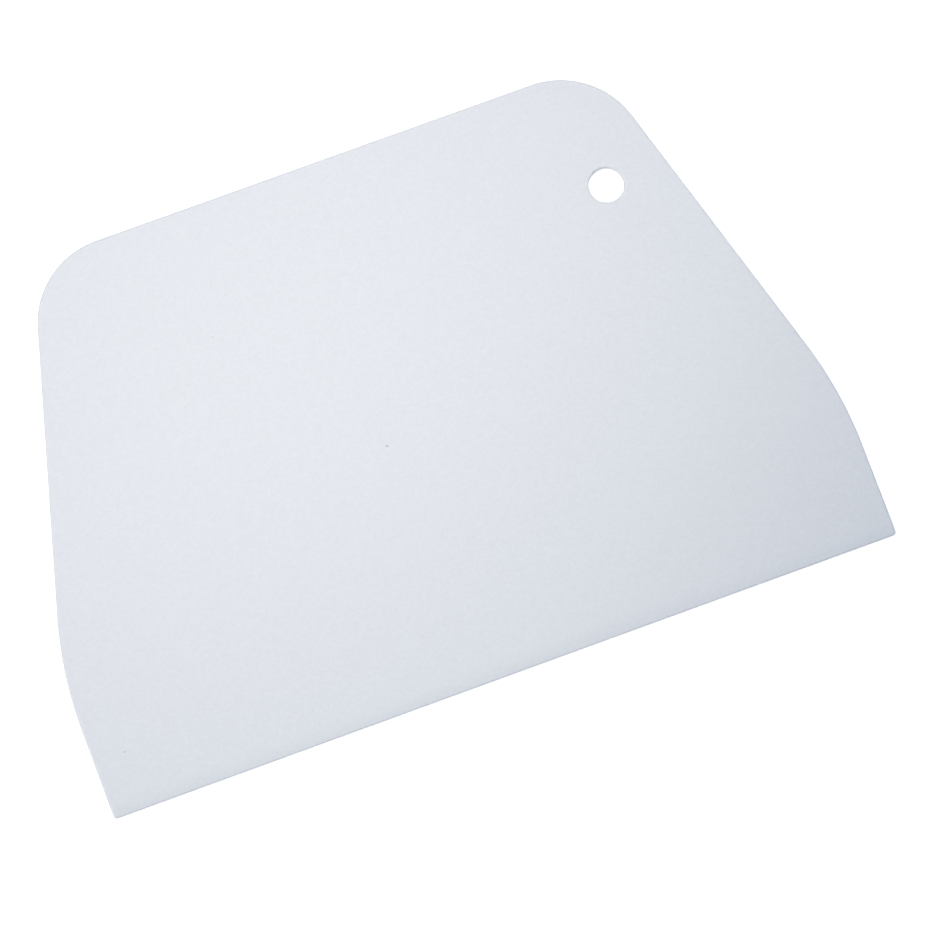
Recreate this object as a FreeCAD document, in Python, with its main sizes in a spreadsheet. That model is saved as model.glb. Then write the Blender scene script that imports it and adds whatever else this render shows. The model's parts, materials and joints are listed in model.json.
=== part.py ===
import FreeCAD, Part
import math
import os

import Sketcher

# Bench scraper: one moulded sheet of semi-flexible plastic, lying flat.
#
# Frame: +X along the working edge, +Y from the working edge towards the grip edge, +Z up.
# The origin is at the bottom of the sheet, under the middle of its length and height.
# All sizes are in millimetres. The driving sizes stand in the sheet below, and every sketch
# and feature is bound to them.

SIZES = [
    # name, value, what it is
    ("blade_width", 150.0, "length of the working edge"),
    ("blade_height", 100.0, "working edge to grip edge"),
    ("thickness", 2.0, "thickness of the sheet"),
    ("flank_height", 28.0, "height of the upright flank beside the working edge"),
    ("grip_width", 108.0, "grip edge, to where the slanted sides would meet it"),
    ("grip_corner_radius", 16.0, "round corners that sit in the palm"),
    ("shoulder_radius", 75.0, "easy bend where the flank turns into the slanted side"),
    ("working_corner_radius", 0.5, "blunted corners of the working edge"),
    ("taper_length", 3.0, "how far in from the working edge the sheet starts to thin"),
    ("working_edge_thickness", 1.0, "thickness left at the working edge"),
    ("rim_radius", 0.3, "rounding of the outline on both faces"),
    ("hang_hole_diameter", 6.5, "hole that hangs the scraper on a peg or hook"),
    ("hang_hole_from_side", 11.5, "hole centre to the slanted side, square to it"),
    ("hang_hole_from_grip_edge", 22.0, "hole centre to the grip edge"),
    ("hang_hole_rim_radius", 0.25, "rounding of the hole's two mouths"),
    ("cutter_margin", 1.0, "how far a cutting sketch reaches outside the sheet"),
]

# How a sketch counts its fixed geometry, and the points of a line or an arc.
ORIGIN = (-1, 1)
VERTICAL_AXIS = -2
FIRST_EXTERNAL = -3
START, END, CENTRE = 1, 2, 3


def make_sheet(doc):
    sheet = doc.addObject("Spreadsheet::Sheet", "Sizes")
    for row, (name, value, meaning) in enumerate(SIZES, start=1):
        sheet.set("A%d" % row, name)
        sheet.set("B%d" % row, str(value))
        sheet.set("C%d" % row, meaning)
        sheet.setAlias("B%d" % row, name)
    doc.recompute()
    return sheet


def origin_plane(body, role):
    return next(item for item in body.Origin.OriginFeatures if item.Role == role)


def add_sketch(body, name, plane_role):
    sketch = body.newObject("Sketcher::SketchObject", name)
    sketch.AttachmentSupport = [(origin_plane(body, plane_role), "")]
    sketch.MapMode = "FlatFace"
    return sketch


def add_loop(sketch, points):
    """Draw straight lines through the points, closed and joined at the corners."""
    corners = [FreeCAD.Vector(x, y, 0) for x, y in points]
    lines = []
    for start, end in zip(corners, corners[1:] + corners[:1]):
        lines.append(sketch.addGeometry(Part.LineSegment(start, end), False))
    for line, following in zip(lines, lines[1:] + lines[:1]):
        sketch.addConstraint(Sketcher.Constraint("Coincident", line, END, following, START))
    return lines


def add_size(sketch, kind, places, name, formula):
    """Add a driving dimension with a name and bind it to the sheet."""
    flat = [number for place in places for number in place]
    index = sketch.addConstraint(Sketcher.Constraint(kind, *flat, 1.0))
    sketch.renameConstraint(index, name)
    sketch.setExpression("Constraints." + name, formula)


def is_wall(face):
    """A wall stands upright: its normal has no part along Z."""
    low_u, high_u, low_v, high_v = face.ParameterRange
    normal = face.normalAt((low_u + high_u) / 2, (low_v + high_v) / 2)
    return abs(normal.z) < 1e-6


def edge_names(shape, wanted):
    return ["Edge%d" % number for number, edge in enumerate(shape.Edges, start=1) if wanted(edge)]


def rim_edges(shape):
    """Edges where an upright wall meets a face, a taper or another surface that isn't a wall."""
    def wanted(edge):
        walls = [is_wall(face) for face in shape.ancestorsOfType(edge, Part.Face)]
        return walls.count(True) == 1 and walls.count(False) == 1
    return edge_names(shape, wanted)


def upright_edges_near(shape, places):
    """Edges along Z that pass within a small distance of the given (x, y) places."""
    def wanted(edge):
        first, last = edge.Vertexes[0].Point, edge.Vertexes[-1].Point
        upright = math.hypot(first.x - last.x, first.y - last.y) < 1e-6
        near = any(math.hypot(first.x - x, first.y - y) < 1e-4 for x, y in places)
        return upright and near
    return edge_names(shape, wanted)


def add_fillet(body, name, base, edges, radius_name):
    fillet = body.newObject("PartDesign::Fillet", name)
    fillet.Base = (base, edges)
    fillet.setExpression("Radius", "Sizes." + radius_name)
    body.Document.recompute()
    return fillet


def add_outline(body, sizes):
    """The outline with sharp corners: a wide base with upright flanks, then slanted sides."""
    half_width = sizes.blade_width / 2
    half_grip = sizes.grip_width / 2
    bottom = -sizes.blade_height / 2
    shoulder = bottom + sizes.flank_height
    top = sizes.blade_height / 2

    sketch = add_sketch(body, "outline", "XY_Plane")
    working_edge, right_flank, right_side, grip_edge, left_side, left_flank = add_loop(sketch, [
        (-half_width, bottom), (half_width, bottom), (half_width, shoulder),
        (half_grip, top), (-half_grip, top), (-half_width, shoulder)])
    for line in (working_edge, grip_edge):
        sketch.addConstraint(
            Sketcher.Constraint("Symmetric", line, START, line, END, VERTICAL_AXIS))
    sketch.addConstraint(
        Sketcher.Constraint("Symmetric", right_flank, END, left_flank, START, VERTICAL_AXIS))
    sketch.addConstraint(Sketcher.Constraint("Vertical", right_flank))
    add_size(sketch, "DistanceX", [(working_edge, START), (working_edge, END)],
             "base_length", "Sizes.blade_width")
    add_size(sketch, "DistanceX", [(grip_edge, END), (grip_edge, START)],
             "grip_length", "Sizes.grip_width")
    add_size(sketch, "DistanceY", [(right_flank, START), (right_flank, END)],
             "flank_rise", "Sizes.flank_height")
    add_size(sketch, "DistanceY", [(working_edge, END), (right_side, END)],
             "full_rise", "Sizes.blade_height")
    add_size(sketch, "DistanceY", [(working_edge, START), ORIGIN],
             "base_to_middle", "Sizes.blade_height / 2")
    return sketch, grip_edge, right_side


def add_taper_profile(body, sizes):
    """What is cut off the upper face along the working edge, seen along X.

    The arc leaves the flat face tangentially and falls to the working edge, so the sheet
    thins in one smooth roll.
    """
    edge_y = -sizes.blade_height / 2
    top_z = sizes.thickness / 2
    edge_z = sizes.working_edge_thickness / 2
    inner_y = edge_y + sizes.taper_length
    drop = top_z - edge_z
    arc_radius = (sizes.taper_length ** 2 + drop ** 2) / (2 * drop)
    swept = math.asin(sizes.taper_length / arc_radius)

    sketch = add_sketch(body, "taper_profile", "YZ_Plane")
    centre = FreeCAD.Vector(inner_y, top_z - arc_radius, 0)
    circle = Part.Circle(centre, FreeCAD.Vector(0, 0, 1), arc_radius)
    roll = sketch.addGeometry(
        Part.ArcOfCircle(circle, math.pi / 2, math.pi / 2 + swept), False)

    outer_y = edge_y - sizes.cutter_margin
    outer_z = top_z + sizes.cutter_margin
    corners = [(edge_y, edge_z), (outer_y, edge_z), (outer_y, outer_z), (inner_y, outer_z),
               (inner_y, top_z)]
    points = [FreeCAD.Vector(y, z, 0) for y, z in corners]
    below, outside, above, inside = [
        sketch.addGeometry(Part.LineSegment(start, end), False)
        for start, end in zip(points, points[1:])]
    chain = [roll, below, outside, above, inside]
    for line, following in zip(chain, chain[1:]):
        sketch.addConstraint(Sketcher.Constraint("Coincident", line, END, following, START))
    sketch.addConstraint(Sketcher.Constraint("Coincident", inside, END, roll, START))
    for line in (below, above):
        sketch.addConstraint(Sketcher.Constraint("Horizontal", line))
    for line in (outside, inside):
        sketch.addConstraint(Sketcher.Constraint("Vertical", line))
    sketch.addConstraint(Sketcher.Constraint("Vertical", roll, CENTRE, roll, START))
    add_size(sketch, "DistanceX", [(roll, END), (roll, START)],
             "taper_run", "Sizes.taper_length")
    add_size(sketch, "DistanceX", [(roll, END), ORIGIN],
             "edge_to_middle", "Sizes.blade_height / 2")
    add_size(sketch, "DistanceY", [ORIGIN, (roll, START)],
             "face_level", "Sizes.thickness / 2")
    add_size(sketch, "DistanceY", [ORIGIN, (roll, END)],
             "edge_level", "Sizes.working_edge_thickness / 2")
    add_size(sketch, "DistanceX", [(below, END), (below, START)],
             "margin_outside", "Sizes.cutter_margin")
    add_size(sketch, "DistanceY", [(inside, END), (inside, START)],
             "margin_above", "Sizes.cutter_margin")
    return sketch


def add_hang_hole_sketch(body, sizes, outline, grip_edge, side):
    """A circle placed from the grip edge and from the slanted side next to it."""
    sketch = add_sketch(body, "hang_hole_circle", "XY_Plane")
    sketch.addExternal(outline.Name, "Edge%d" % (grip_edge + 1))
    sketch.addExternal(outline.Name, "Edge%d" % (side + 1))
    outline_grip_edge, outline_side = FIRST_EXTERNAL, FIRST_EXTERNAL - 1

    # The first guess is on the inner side of both lines, where the solver keeps it.
    guess = FreeCAD.Vector(sizes.grip_width / 2 - sizes.hang_hole_from_side,
                           sizes.blade_height / 2 - sizes.hang_hole_from_grip_edge, 0)
    circle = Part.Circle(guess, FreeCAD.Vector(0, 0, 1), sizes.hang_hole_diameter / 2)
    hole = sketch.addGeometry(circle, False)
    add_size(sketch, "Diameter", [(hole,)], "hole_size", "Sizes.hang_hole_diameter")
    add_size(sketch, "DistanceY", [(hole, CENTRE), (outline_grip_edge, START)],
             "below_grip_edge", "Sizes.hang_hole_from_grip_edge")
    add_size(sketch, "Distance", [(hole, CENTRE), (outline_side,)],
             "inside_slanted_side", "Sizes.hang_hole_from_side")
    return sketch


def build_scraper_blade(doc, sizes):
    body = doc.addObject("PartDesign::Body", "scraper_blade")
    body.Label = "scraper_blade"
    # The sheet is drawn about its own middle plane and lifted to stand on z = 0.
    body.setExpression(".Placement.Base.z", "Sizes.thickness / 2")

    outline, grip_edge, side = add_outline(body, sizes)
    doc.recompute()
    sheet = body.newObject("PartDesign::Pad", "sheet")
    sheet.Profile = outline
    sheet.SideType = "Symmetric"
    sheet.setExpression("Length", "Sizes.thickness")
    doc.recompute()

    def mirrored(x, y):
        return [(x, y), (-x, y)]

    bottom, top = -sizes.blade_height / 2, sizes.blade_height / 2
    corner_sets = [
        ("grip_corners", mirrored(sizes.grip_width / 2, top), "grip_corner_radius"),
        ("shoulders", mirrored(sizes.blade_width / 2, bottom + sizes.flank_height),
         "shoulder_radius"),
        ("working_corners", mirrored(sizes.blade_width / 2, bottom), "working_corner_radius"),
    ]
    base = sheet
    for name, places, radius_name in corner_sets:
        edges = upright_edges_near(base.Shape, places)
        base = add_fillet(body, name, base, edges, radius_name)

    upper_taper = body.newObject("PartDesign::Pocket", "upper_taper")
    upper_taper.Profile = add_taper_profile(body, sizes)
    upper_taper.Type = "ThroughAll"
    upper_taper.SideType = "Symmetric"
    doc.recompute()
    tapers = body.newObject("PartDesign::Mirrored", "tapers")
    tapers.Originals = [upper_taper]
    tapers.MirrorPlane = (origin_plane(body, "XY_Plane"), [""])
    body.Tip = tapers
    doc.recompute()

    rim = add_fillet(body, "rim", tapers, rim_edges(tapers.Shape), "rim_radius")

    hang_hole = body.newObject("PartDesign::Pocket", "hang_hole")
    hang_hole.Profile = add_hang_hole_sketch(body, sizes, outline, grip_edge, side)
    hang_hole.Type = "ThroughAll"
    hang_hole.SideType = "Symmetric"
    doc.recompute()

    def on_hole_mouth(edge):
        circle = isinstance(edge.Curve, Part.Circle)
        return circle and abs(edge.Curve.Radius - sizes.hang_hole_diameter / 2) < 1e-6

    mouths = edge_names(hang_hole.Shape, on_hole_mouth)
    hole_rim = add_fillet(body, "hang_hole_rim", hang_hole, mouths, "hang_hole_rim_radius")
    body.Tip = hole_rim
    doc.recompute()

    check_cut("upper taper", sheet, upper_taper)
    check_cut("lower taper", upper_taper, tapers)
    check_cut("hang hole", rim, hang_hole)
    return body


def check_cut(what, before, after):
    """A cut that points away from the solid leaves its volume as it was."""
    if not after.Shape.Volume < before.Shape.Volume - 1e-3:
        raise RuntimeError("the %s removed nothing" % what)


def check_document(doc):
    for item in doc.Objects:
        if "Invalid" in item.State or "Error" in item.State:
            raise RuntimeError("%s failed: %s" % (item.Name, item.State))


def export_node(body):
    shape = body.Shape
    if shape.isNull() or not shape.isValid() or len(shape.Solids) != 1:
        raise RuntimeError("%s is not one valid solid" % body.Label)
    shape.exportStep("parts/%s.step" % body.Label)
    box = shape.optimalBoundingBox(False, False)
    print("%s: %.3f x %.3f x %.3f mm from (%.3f, %.3f, %.3f), volume %.1f mm3" % (
        body.Label, box.XLength, box.YLength, box.ZLength, box.XMin, box.YMin, box.ZMin,
        shape.Volume))


def main():
    os.makedirs("parts", exist_ok=True)
    doc = FreeCAD.newDocument("bench_scraper")
    sizes = make_sheet(doc)
    blade = build_scraper_blade(doc, sizes)
    check_document(doc)
    export_node(blade)


main()
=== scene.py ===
import json
import math

import bmesh
import bpy
from mathutils import Euler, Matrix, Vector


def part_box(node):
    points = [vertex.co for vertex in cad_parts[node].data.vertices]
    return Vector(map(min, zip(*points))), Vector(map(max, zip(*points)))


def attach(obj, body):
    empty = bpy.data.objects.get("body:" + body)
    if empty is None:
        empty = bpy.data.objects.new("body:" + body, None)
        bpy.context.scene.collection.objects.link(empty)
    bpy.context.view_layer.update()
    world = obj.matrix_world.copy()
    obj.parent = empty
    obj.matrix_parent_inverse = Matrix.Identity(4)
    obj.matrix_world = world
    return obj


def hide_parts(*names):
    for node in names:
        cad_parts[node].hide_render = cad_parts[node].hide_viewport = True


bl_info = {
    "name": "Bench Scraper",
    "version": (1, 0, 0),
    "blender": (4, 5, 0),
    "location": "3D View > Sidebar > Bench Scraper",
    "description": "Models a moulded plastic bench scraper and the studio it lies in",
    "category": "Add Mesh",
}

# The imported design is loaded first, because the defaults below come from it.
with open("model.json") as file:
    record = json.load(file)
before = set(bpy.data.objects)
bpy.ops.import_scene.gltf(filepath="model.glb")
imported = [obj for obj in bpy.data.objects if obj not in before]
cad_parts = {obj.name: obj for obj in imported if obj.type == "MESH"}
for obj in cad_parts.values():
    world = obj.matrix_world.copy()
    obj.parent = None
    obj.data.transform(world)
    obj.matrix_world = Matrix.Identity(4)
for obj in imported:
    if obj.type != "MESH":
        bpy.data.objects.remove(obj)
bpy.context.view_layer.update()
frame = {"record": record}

BLADE_NODE = "scraper_blade"
BLADE_LOW, BLADE_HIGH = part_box(BLADE_NODE)
BLADE_SIZE = BLADE_HIGH - BLADE_LOW
HOLE_MOUNT = next(mount for mount in frame["record"]["mounts"] if mount["name"] == "hang_hole")

MM = 0.001

# How finely round shapes are divided.
ARC_CHORD = 0.55 * MM
FEWEST_ARC_STEPS = 8
HOLE_SIDES = 72
TAPER_ROWS = 10
RIM_SEGMENTS = 4

# The bevel profile that rounds an edge to a quarter circle.
ROUND_PROFILE = 0.5

# A strip of even faces beside every edge, so that the rims are rounded out of clean quads.
COLLAR_WIDTH = 0.4 * MM

# Points closer together than this are merged into one.
MERGE_DISTANCE = 0.004 * MM

# Rows of points across the sheet are told apart to this.
SAME_PLACE = 0.01 * MM

# A wall's normal has less height than this, and a bend sharper than this angle shows an edge.
WALL_NORMAL_HEIGHT = 0.001
SMOOTH_ANGLE = math.radians(40)


def linear_colour(hex_code, alpha=True):
    """An sRGB hex colour as the linear values that Blender's colour sockets hold."""
    channels = []
    for start in (0, 2, 4):
        value = int(hex_code[start:start + 2], 16) / 255
        channels.append(value / 12.92 if value <= 0.04045 else ((value + 0.055) / 1.055) ** 2.4)
    return (*channels, 1.0) if alpha else tuple(channels)


# ----------------------------------------------------------------------------------------
# What a user would change


class ScraperSizes(bpy.types.PropertyGroup):
    width: bpy.props.FloatProperty(
        name="Width", description="Length of the working edge",
        default=BLADE_SIZE.x, unit="LENGTH")
    height: bpy.props.FloatProperty(
        name="Height", description="Working edge to grip edge",
        default=BLADE_SIZE.y, unit="LENGTH")
    thickness: bpy.props.FloatProperty(
        name="Thickness", description="Thickness of the sheet",
        default=BLADE_SIZE.z, unit="LENGTH", precision=4)
    flank_height: bpy.props.FloatProperty(
        name="Flank height", description="Height of the upright flank beside the working edge",
        default=28 * MM, unit="LENGTH")
    grip_width: bpy.props.FloatProperty(
        name="Grip width", description="Grip edge, to where the slanted sides would meet it",
        default=108 * MM, unit="LENGTH")
    grip_corner_radius: bpy.props.FloatProperty(
        name="Grip corner radius", description="Round corners that sit in the palm",
        default=16 * MM, unit="LENGTH")
    shoulder_radius: bpy.props.FloatProperty(
        name="Shoulder radius", description="Easy bend from the flank into the slanted side",
        default=75 * MM, unit="LENGTH")
    working_corner_radius: bpy.props.FloatProperty(
        name="Working corner radius", description="Blunted corners of the working edge",
        default=0.5 * MM, unit="LENGTH", precision=4)
    taper_length: bpy.props.FloatProperty(
        name="Taper length", description="How far in from the working edge the sheet thins",
        default=3 * MM, unit="LENGTH", precision=4)
    working_edge_thickness: bpy.props.FloatProperty(
        name="Working edge thickness", description="Thickness left at the working edge",
        default=1 * MM, unit="LENGTH", precision=4)
    rim_radius: bpy.props.FloatProperty(
        name="Rim radius", description="Rounding of the outline on both faces",
        default=0.3 * MM, unit="LENGTH", precision=5)
    hole_centre: bpy.props.FloatVectorProperty(
        name="Hole centre", description="Where the hang hole is, seen from above",
        size=2, default=HOLE_MOUNT["pos_m"][:2], subtype="TRANSLATION")
    hole_radius: bpy.props.FloatProperty(
        name="Hole radius", description="Radius of the hang hole",
        default=HOLE_MOUNT["dims"]["r_mm"] * MM, unit="LENGTH", precision=5)
    hole_rim_radius: bpy.props.FloatProperty(
        name="Hole rim radius", description="Rounding of the hang hole's two mouths",
        default=0.25 * MM, unit="LENGTH", precision=5)


class ScraperFinish(bpy.types.PropertyGroup):
    plastic: bpy.props.FloatVectorProperty(
        name="Plastic", description="Lightest tone of the natural white polyethylene",
        size=4, default=linear_colour("EBEEF2"), subtype="COLOR", min=0, max=1)
    plastic_shade: bpy.props.FloatVectorProperty(
        name="Plastic shade", description="Darkest tone that the grain and the clouding reach",
        size=4, default=linear_colour("DDE0E4"), subtype="COLOR", min=0, max=1)
    speck: bpy.props.FloatVectorProperty(
        name="Speck", description="Colour of the dust specks moulded into the surface",
        size=4, default=linear_colour("5A5652"), subtype="COLOR", min=0, max=1)
    grain_width: bpy.props.FloatProperty(
        name="Grain width", description="Width of one grain of the spark-eroded surface",
        default=0.6 * MM, unit="LENGTH", precision=5)
    grain_height: bpy.props.FloatProperty(
        name="Grain height", description="How far the grain stands out of the surface",
        default=0.022 * MM, unit="LENGTH", precision=6)
    cloud_width: bpy.props.FloatProperty(
        name="Cloud width", description="Width of the faint clouding in the plastic",
        default=5 * MM, unit="LENGTH", precision=4)


class StudioSettings(bpy.types.PropertyGroup):
    floor_size: bpy.props.FloatProperty(
        name="Floor size", description="Side of the white paper sweep",
        default=12.0, unit="LENGTH")
    camera_distance: bpy.props.FloatProperty(
        name="Camera distance", description="From the lens to the scraper's upper face",
        default=1.6212, unit="LENGTH")
    camera_lens: bpy.props.FloatProperty(
        name="Camera lens", description="Focal length on a 36 mm wide sensor",
        default=350.3, unit="CAMERA")
    camera_aim: bpy.props.FloatVectorProperty(
        name="Camera aim", description="The point of the upper face in the picture's middle",
        size=2, default=(6.0 * MM, -10.9 * MM), subtype="TRANSLATION")
    camera_turn: bpy.props.FloatVectorProperty(
        name="Camera turn",
        description="Lean towards the working edge, lean to the left, and turn of the picture",
        size=3, default=(math.radians(9.83), math.radians(-2.28), math.radians(-20.51)),
        subtype="EULER")


# ----------------------------------------------------------------------------------------
# Modelling helpers


def start_edit(piece):
    bpy.ops.object.select_all(action="DESELECT")
    bpy.context.view_layer.objects.active = piece
    piece.select_set(True)
    bpy.ops.object.mode_set(mode="EDIT")


def pick(piece, mode, wanted):
    """Select only the vertices, edges or faces that the wanted function says yes to."""
    bpy.ops.mesh.select_mode(type=mode)
    bpy.ops.mesh.select_all(action="DESELECT")
    mesh = bmesh.from_edit_mesh(piece.data)
    for item in {"VERT": mesh.verts, "EDGE": mesh.edges, "FACE": mesh.faces}[mode]:
        item.select_set(wanted(item))
    mesh.select_flush_mode()
    bmesh.update_edit_mesh(piece.data)


def extrude_to(here, there):
    bpy.ops.mesh.extrude_region_move(TRANSFORM_OT_translate={"value": there - here})
    return there


def apply_modifier(piece, kind, **settings):
    modifier = piece.modifiers.new(kind.lower(), kind)
    for name, value in settings.items():
        setattr(modifier, name, value)
    bpy.ops.object.modifier_apply(modifier=modifier.name)


def draw_chain(start, corners, end):
    """Extrude a chain of edges from the selected vertex through corners, each one rounded.

    A corner is a point and a radius. Every corner turns left. Spin turns clockwise about
    its axis, so the axis points down.
    """
    points = [start] + [corner for corner, _ in corners] + [end]
    here = start
    for before, (corner, radius), after in zip(points, corners, points[2:]):
        heading, new_heading = (corner - before).normalized(), (after - corner).normalized()
        turn = heading.angle(new_heading)
        left = Vector((-heading.y, heading.x, 0))
        arc_start = corner - heading * radius * math.tan(turn / 2)
        extrude_to(here, arc_start)
        bpy.ops.mesh.spin(
            steps=max(FEWEST_ARC_STEPS, round(radius * turn / ARC_CHORD)), angle=turn,
            center=arc_start + left * radius, axis=(0, 0, -1))
        here = corner + new_heading * radius * math.tan(turn / 2)
    extrude_to(here, end)


# ----------------------------------------------------------------------------------------
# The sheet


def half_outline(sizes):
    """The right half of the outline: its start, its corners with their radii, and its end."""
    low, high = -sizes.height / 2, sizes.height / 2
    half_width = sizes.width / 2
    corners = [
        (Vector((half_width, low, 0)), sizes.working_corner_radius),
        (Vector((half_width, low + sizes.flank_height, 0)), sizes.shoulder_radius),
        (Vector((sizes.grip_width / 2, high, 0)), sizes.grip_corner_radius),
    ]
    return Vector((0, low, 0)), corners, Vector((0, high, 0))


def thickness_share(sizes, y):
    """Thickness at a distance along Y, as a share of the full one, on the taper's arc."""
    run = max(0.0, -sizes.height / 2 + sizes.taper_length - y)
    full_drop = (sizes.thickness - sizes.working_edge_thickness) / 2
    arc_radius = (sizes.taper_length ** 2 + full_drop ** 2) / (2 * full_drop)
    drop = arc_radius - math.sqrt(arc_radius ** 2 - run ** 2)
    return 1 - 2 * drop / sizes.thickness


def thin_working_edge(piece, sizes):
    """Cut rows across the sheet beside the working edge and squeeze each to its thickness.

    The first row runs where the working corners' arcs end, so that no row cuts an arc.
    """
    low = -sizes.height / 2
    step = (sizes.taper_length - sizes.working_corner_radius) / TAPER_ROWS
    for row in range(TAPER_ROWS + 1):
        bpy.ops.mesh.select_all(action="SELECT")
        bpy.ops.mesh.bisect(
            plane_co=(0, low + sizes.working_corner_radius + step * row, 0),
            plane_no=(0, 1, 0), threshold=MERGE_DISTANCE)
    mesh = bmesh.from_edit_mesh(piece.data)
    rows = {round(vertex.co.y / SAME_PLACE) * SAME_PLACE for vertex in mesh.verts}
    for y in sorted(y for y in rows if y < low + sizes.taper_length - SAME_PLACE):
        pick(piece, "VERT", lambda vertex: abs(vertex.co.y - y) < SAME_PLACE / 2)
        bpy.ops.transform.resize(
            value=(1, 1, thickness_share(sizes, y)), center_override=(0, 0, sizes.thickness / 2))


def is_rim(edge):
    """Whether an edge stands between an upright wall and a face that isn't one."""
    walls = [abs(face.normal.z) < WALL_NORMAL_HEIGHT for face in edge.link_faces]
    return walls.count(True) == 1 and walls.count(False) == 1


def round_rims(piece, sizes):
    centre = Vector((*sizes.hole_centre, 0))

    def in_hole(edge):
        middle = (edge.verts[0].co + edge.verts[1].co) / 2
        return (middle - centre).xy.length < sizes.hole_radius + COLLAR_WIDTH

    def on_outline(edge):
        return is_rim(edge) and not in_hole(edge)

    def on_hole_mouth(edge):
        return is_rim(edge) and in_hole(edge)

    for wanted, radius in ((on_outline, sizes.rim_radius), (on_hole_mouth, sizes.hole_rim_radius)):
        pick(piece, "EDGE", wanted)
        bpy.ops.mesh.bevel(
            offset=radius, offset_type="OFFSET", segments=RIM_SEGMENTS, profile=ROUND_PROFILE,
            affect="EDGES", clamp_overlap=False)


def model_sheet(sizes):
    start, corners, end = half_outline(sizes)
    bpy.ops.object.select_all(action="DESELECT")
    bpy.ops.mesh.primitive_plane_add(size=COLLAR_WIDTH, location=start)
    piece = bpy.context.object
    piece.name = piece.data.name = "scraper_sheet"
    bpy.ops.object.transform_apply(location=True, rotation=True, scale=True)

    # The right half of the outline, drawn from the middle of the working edge.
    start_edit(piece)
    bpy.ops.mesh.select_mode(type="VERT")
    bpy.ops.mesh.select_all(action="SELECT")
    bpy.ops.mesh.merge(type="CENTER")
    draw_chain(start, corners, end)
    bpy.ops.object.mode_set(mode="OBJECT")
    apply_modifier(piece, "MIRROR", merge_threshold=MERGE_DISTANCE)

    # The hole, the face between it and the outline, and the face's even strip.
    start_edit(piece)
    bpy.ops.mesh.primitive_circle_add(
        vertices=HOLE_SIDES, radius=sizes.hole_radius, location=(*sizes.hole_centre, 0))
    bpy.ops.mesh.select_all(action="SELECT")
    bpy.ops.mesh.fill(use_beauty=True)
    bpy.ops.mesh.select_all(action="SELECT")
    bpy.ops.mesh.inset(thickness=COLLAR_WIDTH, use_boundary=True, use_even_offset=True)

    # The thickness, the thinned working edge and the rounded rims.
    bpy.ops.mesh.select_all(action="SELECT")
    bpy.ops.mesh.extrude_region_move(TRANSFORM_OT_translate={"value": (0, 0, sizes.thickness)})
    bpy.ops.mesh.select_all(action="SELECT")
    bpy.ops.mesh.normals_make_consistent(inside=False)
    thin_working_edge(piece, sizes)
    round_rims(piece, sizes)
    bpy.ops.mesh.select_all(action="SELECT")
    bpy.ops.mesh.remove_doubles(threshold=MERGE_DISTANCE)
    bpy.ops.mesh.normals_make_consistent(inside=False)
    bpy.ops.object.mode_set(mode="OBJECT")

    bpy.ops.object.shade_smooth_by_angle(angle=SMOOTH_ANGLE)
    apply_modifier(piece, "WEIGHTED_NORMAL", keep_sharp=True)
    return piece


# ----------------------------------------------------------------------------------------
# Materials


def add_node(tree, kind, inputs=None, **settings):
    """Add a node with its settings, its input values and its links.

    Inputs are named, or numbered where two have the same name. An input is given a value,
    or the output socket that it is linked to.
    """
    node = tree.nodes.new(kind)
    for name, value in settings.items():
        setattr(node, name, value)
    for key, value in (inputs or {}).items():
        named = [socket for socket in node.inputs if socket.name == key and socket.enabled]
        socket = named[0] if named else node.inputs[key]
        if isinstance(value, bpy.types.NodeSocket):
            tree.links.new(value, socket)
        else:
            socket.default_value = value
    return node


def new_material(name):
    material = bpy.data.materials.new(name)
    material.use_nodes = True
    material.node_tree.nodes.clear()
    return material


# Specks that the plastic carries: x and y in millimetres, width in millimetres, how much
# of the plastic's own colour they cover.
SPECKS = [
    (-5.7, -3.4, 0.42, 0.45),
    (-69.2, -39.3, 0.40, 0.28),
    (-28.3, 26.1, 0.36, 0.20),
    (-23.4, 32.6, 0.34, 0.14),
    (-37.4, 15.6, 0.34, 0.14),
    (-34.3, -37.4, 0.34, 0.12),
    (-49.4, 23.7, 0.30, 0.09),
]

# A speck fades from full cover to none between these shares of its width from its middle.
SPECK_SOLID = 0.3
SPECK_END = 0.6

# How many finer layers the grain and the clouding have, and how strong each is beside the last.
GRAIN_DETAIL = 2.0
CLOUD_DETAIL = 3.0
LAYER_STRENGTH = 0.55

# How much of the change of tone comes from the clouding, the rest being the grain.
CLOUD_SHARE = 0.2

# Roughness of the moulded plastic, from where the clouding is darkest to where it is lightest.
DULLNESS = (0.46, 0.58)
PLASTIC_IOR = 1.5

PAPER_COLOUR = "F0F0F0"
PAPER_GLOW_COLOUR = "FFFFFF"
PAPER_DULLNESS = 0.9

# How much light the paper gives off on top of what it reflects.
PAPER_GLOW_SEEN = 0.6
PAPER_GLOW_ON_SCRAPER = 0.07


def add_pattern(tree, place, width, detail):
    """Cloudy noise whose blobs are about the given width, from 0 to 1."""
    noise = add_node(tree, "ShaderNodeTexNoise", {
        "Vector": place, "Scale": 1 / width, "Detail": detail,
        "Roughness": LAYER_STRENGTH})
    return noise.outputs["Fac"]


def add_specks(tree, place, top):
    """A mask of round specks on the upper face: how much of each place a speck covers."""
    mask = None
    for x, y, width, cover in SPECKS:
        distance = add_node(tree, "ShaderNodeVectorMath", {
            0: place, 1: (x * MM, y * MM, top)}, operation="DISTANCE")
        spot = add_node(tree, "ShaderNodeMapRange", {
            "Value": distance.outputs["Value"], "From Min": SPECK_SOLID * width * MM,
            "From Max": SPECK_END * width * MM, "To Min": cover, "To Max": 0.0},
            interpolation_type="SMOOTHSTEP")
        if mask is None:
            mask = spot.outputs["Result"]
        else:
            mask = add_node(tree, "ShaderNodeMath", {0: mask, 1: spot.outputs["Result"]},
                            operation="MAXIMUM").outputs["Value"]
    return mask


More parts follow.
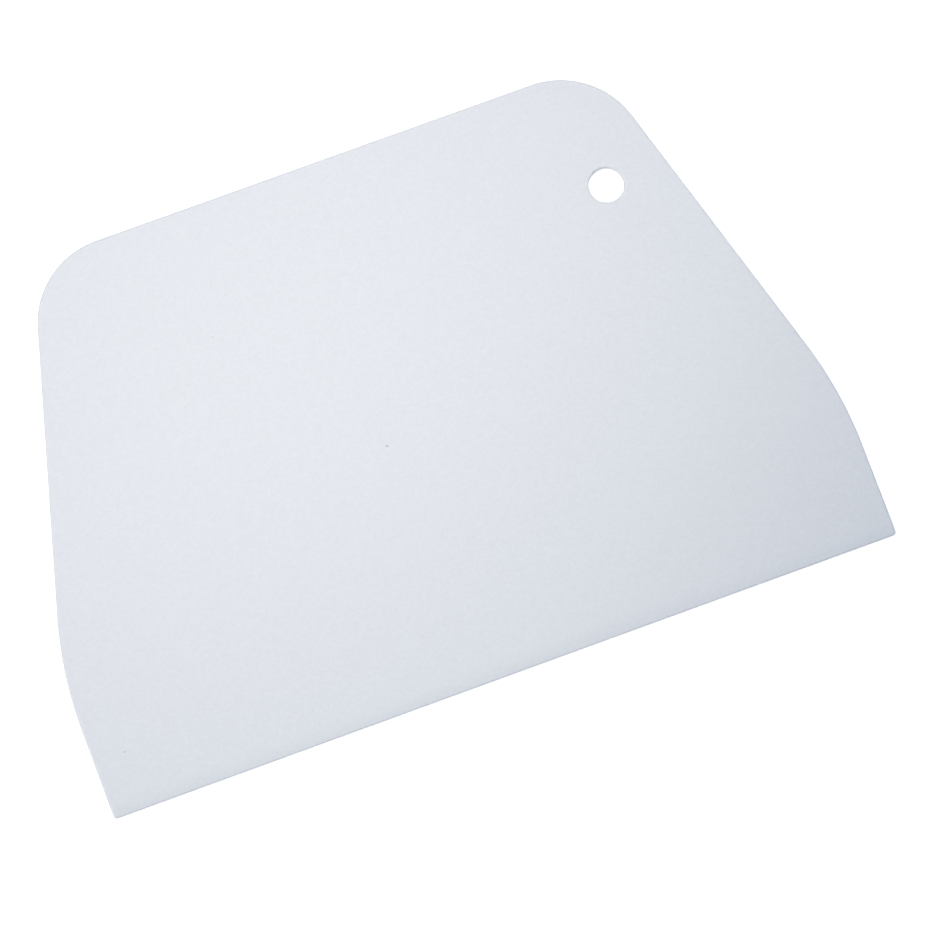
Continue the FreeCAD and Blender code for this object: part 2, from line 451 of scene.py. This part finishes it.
def moulded_polyethylene(finish, top):
    """Natural white high-density polyethylene, moulded in a spark-eroded tool.

    The eye sees a soft, faintly milky white with a fine even grain that kills any sharp
    reflection, very faint clouding, and a few dust specks. Real spark-eroded grain is about
    a tenth of a millimetre wide, and is drawn coarser so that it shows.
    """
    material = new_material("moulded_polyethylene")
    tree = material.node_tree
    place = add_node(tree, "ShaderNodeTexCoord").outputs["Object"]
    grain = add_pattern(tree, place, finish.grain_width, GRAIN_DETAIL)
    cloud = add_pattern(tree, place, finish.cloud_width, CLOUD_DETAIL)

    # The grain's pits and the clouding both move the tone between shade and plastic.
    cloud_part = add_node(tree, "ShaderNodeMath", {0: cloud, 1: CLOUD_SHARE}, operation="MULTIPLY")
    tone = add_node(tree, "ShaderNodeMath", {
        0: grain, 1: 1 - CLOUD_SHARE, 2: cloud_part.outputs["Value"]}, operation="MULTIPLY_ADD")
    plain = add_node(tree, "ShaderNodeMix", {
        "Factor": tone.outputs["Value"], "A": finish.plastic_shade, "B": finish.plastic},
        data_type="RGBA")
    coloured = add_node(tree, "ShaderNodeMix", {
        "Factor": add_specks(tree, place, top), "A": plain.outputs["Result"], "B": finish.speck},
        data_type="RGBA")

    # The clouding also shifts the dullness a little, and the grain catches the light.
    dullness = add_node(tree, "ShaderNodeMapRange", {
        "Value": cloud, "To Min": DULLNESS[0], "To Max": DULLNESS[1]})
    relief = add_node(tree, "ShaderNodeBump", {
        "Height": grain, "Distance": finish.grain_height})
    shader = add_node(tree, "ShaderNodeBsdfPrincipled", {
        "Base Color": coloured.outputs["Result"], "Roughness": dullness.outputs["Result"],
        "Normal": relief.outputs["Normal"], "IOR": PLASTIC_IOR})
    add_node(tree, "ShaderNodeOutputMaterial", {"Surface": shader.outputs["BSDF"]})
    return material


def paper_sweep():
    """Matt white backdrop paper, lit from behind to a clean white.

    The camera sees the whole glow, and the scraper is lit by only a little of it, so that
    its walls stay a little darker than its face.
    """
    material = new_material("white_paper_sweep")
    tree = material.node_tree
    seen = add_node(tree, "ShaderNodeLightPath").outputs["Is Camera Ray"]
    glow = add_node(tree, "ShaderNodeMapRange", {
        "Value": seen, "To Min": PAPER_GLOW_ON_SCRAPER, "To Max": PAPER_GLOW_SEEN})
    shader = add_node(tree, "ShaderNodeBsdfPrincipled", {
        "Base Color": linear_colour(PAPER_COLOUR), "Roughness": PAPER_DULLNESS,
        "Emission Color": linear_colour(PAPER_GLOW_COLOUR),
        "Emission Strength": glow.outputs["Result"]})
    add_node(tree, "ShaderNodeOutputMaterial", {"Surface": shader.outputs["BSDF"]})
    return material


# ----------------------------------------------------------------------------------------
# Operators


class SCRAPER_OT_add_sheet(bpy.types.Operator):
    """Model the scraper's one moulded sheet"""

    bl_idname = "scraper.add_sheet"
    bl_label = "Scraper Sheet"

    def execute(self, context):
        sizes = context.scene.scraper_sizes
        piece = model_sheet(sizes)
        piece.data.materials.append(
            moulded_polyethylene(context.scene.scraper_finish, sizes.thickness))
        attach(piece, "root")
        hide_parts(BLADE_NODE)
        return {"FINISHED"}


# Each softbox: name, distance in metres, azimuth and elevation in degrees, aim, spread in
# degrees and power in watts.
SOFTBOXES = [
    ("low_left_softbox", 0.8, 210, 35, (-20 * MM, 10 * MM, 0), 30, 0.12),
    ("high_left_softbox", 0.8, 180, 50, (-20 * MM, 10 * MM, 0), 30, 0.0837),
    ("right_softbox", 0.45, 30, 35, (-40 * MM, 30 * MM, 0), 60, 0.0737),
    ("top_softbox", 0.45, 90, 80, (-40 * MM, 30 * MM, 0), 60, 0.0698),
]
# A softbox's side, as a share of its distance.
SOFTBOX_SIDE = 0.4
SOFTBOX_COLOUR = "FFF5EA"

# The faint bluish light that comes from all around.
SURROUND_COLOUR = "C5E1FF"
SURROUND_STRENGTH = 0.3734

# The floor lies this far under the sheet, so that the two faces don't flicker together.
FLOOR_GAP = 0.02 * MM

# In millimetres, as Blender counts it.
SENSOR_WIDTH = 36


def add_softbox(name, distance, azimuth, elevation, aim, spread, power):
    """A square light that faces the point it is aimed at."""
    azimuth, elevation = math.radians(azimuth), math.radians(elevation)
    place = distance * Vector((
        math.cos(elevation) * math.cos(azimuth), math.cos(elevation) * math.sin(azimuth),
        math.sin(elevation)))
    towards = Vector(aim) - place
    bpy.ops.object.light_add(
        type="AREA", location=place, rotation=towards.to_track_quat("-Z", "Y").to_euler())
    light = bpy.context.object
    light.name = light.data.name = name
    light.data.shape = "SQUARE"
    light.data.size = distance * SOFTBOX_SIDE
    light.data.spread = math.radians(spread)
    light.data.color = linear_colour(SOFTBOX_COLOUR, alpha=False)
    light.data.energy = power


class SCRAPER_OT_add_stage(bpy.types.Operator):
    """Add the floor, the soft lights and the camera"""

    bl_idname = "scraper.add_stage"
    bl_label = "Studio"

    def execute(self, context):
        studio, sizes = context.scene.scraper_studio, context.scene.scraper_sizes
        bpy.ops.object.select_all(action="DESELECT")
        bpy.ops.mesh.primitive_plane_add(size=studio.floor_size, location=(0, 0, -FLOOR_GAP))
        floor = context.object
        floor.name = floor.data.name = "floor"
        bpy.ops.object.transform_apply(location=True, rotation=True, scale=True)
        floor.data.materials.append(paper_sweep())

        world = bpy.data.worlds.new("studio_air")
        world.use_nodes = True
        background = world.node_tree.nodes["Background"]
        background.inputs["Color"].default_value = linear_colour(SURROUND_COLOUR)
        background.inputs["Strength"].default_value = SURROUND_STRENGTH
        context.scene.world = world

        for softbox in SOFTBOXES:
            add_softbox(*softbox)

        turned = Euler(studio.camera_turn)
        aim = Vector((*studio.camera_aim, sizes.thickness))
        place = aim + turned.to_matrix() @ Vector((0, 0, studio.camera_distance))
        bpy.ops.object.camera_add(location=place, rotation=turned)
        camera = context.object
        camera.name = camera.data.name = "camera"
        camera.data.sensor_width = SENSOR_WIDTH
        camera.data.lens = studio.camera_lens
        context.scene.camera = camera
        context.scene.view_settings.view_transform = "Standard"
        return {"FINISHED"}


class VIEW3D_PT_bench_scraper(bpy.types.Panel):
    bl_idname = "VIEW3D_PT_bench_scraper"
    bl_label = "Bench Scraper"
    bl_space_type = "VIEW_3D"
    bl_region_type = "UI"
    bl_category = "Bench Scraper"

    def draw(self, context):
        column = self.layout.column()
        for group in (context.scene.scraper_sizes, context.scene.scraper_finish):
            for name in group.__annotations__:
                column.prop(group, name)
        column.operator(SCRAPER_OT_add_sheet.bl_idname)
        for name in context.scene.scraper_studio.__annotations__:
            column.prop(context.scene.scraper_studio, name)
        column.operator(SCRAPER_OT_add_stage.bl_idname)


CLASSES = (
    ScraperSizes, ScraperFinish, StudioSettings, SCRAPER_OT_add_sheet, SCRAPER_OT_add_stage,
    VIEW3D_PT_bench_scraper)
SETTINGS = {
    "scraper_sizes": ScraperSizes,
    "scraper_finish": ScraperFinish,
    "scraper_studio": StudioSettings,
}


def register():
    for item in CLASSES:
        bpy.utils.register_class(item)
    for name, group in SETTINGS.items():
        setattr(bpy.types.Scene, name, bpy.props.PointerProperty(type=group))


def unregister():
    for name in SETTINGS:
        delattr(bpy.types.Scene, name)
    for item in reversed(CLASSES):
        bpy.utils.unregister_class(item)


def main():
    register()
    bpy.ops.scraper.add_sheet()
    bpy.ops.scraper.add_stage()


if __name__ == "__main__":
    main()
